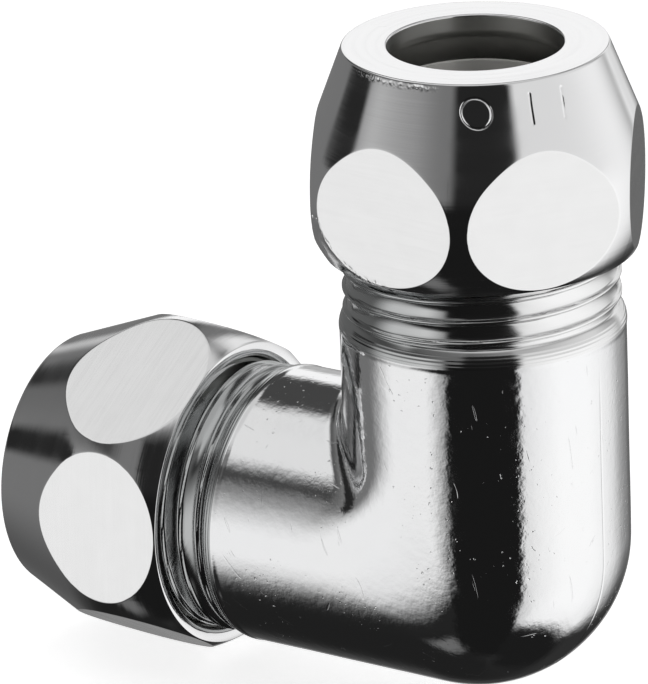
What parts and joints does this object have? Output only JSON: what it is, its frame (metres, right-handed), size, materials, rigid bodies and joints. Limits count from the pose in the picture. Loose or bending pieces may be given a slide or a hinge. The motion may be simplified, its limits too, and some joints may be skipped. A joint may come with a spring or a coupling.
{
  "type": "compression elbow fitting",
  "caption": "Right-angle compression fitting for metal water pipe: a forged elbow body, a hexagonal union nut with a long cone on each port, and a double-tapered olive inside each nut.",
  "frame": {"origin": "the centre of the underside of the fitting's bounding box; the axes of the two ports cross at x = 19.45 mm, z = 20.9 mm", "axes": "+Z along the upper port's axis, pointing out of the port; -X along the side port's axis, pointing out of the port; the plane y = 0 holds both axes and is the forging's parting plane"},
  "size_m": [0.0806, 0.0384, 0.0833],
  "materials": {
    "plated_body": "chrome plate over a forged brass skin, slightly wavy, with small dents and a parting line",
    "plated_nut": "chrome plate over turned and milled brass, fine turning marks on the cones, bright flats",
    "olive_brass": "plain turned brass"
  },
  "bodies": {
    "elbow": {"elbow_body": "plated_body"},
    "upper_olive": {"upper_olive": "olive_brass"},
    "upper_nut": {"upper_nut": "plated_nut"},
    "side_olive": {"side_olive": "olive_brass"},
    "side_nut": {"side_nut": "plated_nut"}
  },
  "joints": [
    {"name": "upper_nut_turn", "type": "hinge", "parent": "elbow", "child": "upper_olive", "pos_m": [0.01945, 0, 0.0834], "axis": [0, 0, 1], "range_deg": [-382, 1868]},
    {"name": "upper_nut_travel", "type": "slide", "parent": "upper_olive", "child": "upper_nut", "axis": [0, 0, 1], "range_m": [-0.0027, 0.01319]},
    {"name": "side_nut_turn", "type": "hinge", "parent": "elbow", "child": "side_olive", "pos_m": [-0.04035, 0, 0.0209], "axis": [-1, 0, 0], "range_deg": [0, 2250]},
    {"name": "side_nut_travel", "type": "slide", "parent": "side_olive", "child": "side_nut", "axis": [-1, 0, 0], "range_m": [0, 0.01588]}
  ],
  "couplings": [
    {"joint": "upper_nut_travel", "follows": "upper_nut_turn", "m_per_rad": 0.00040425},
    {"joint": "side_nut_travel", "follows": "side_nut_turn", "m_per_rad": 0.00040425}
  ]
}
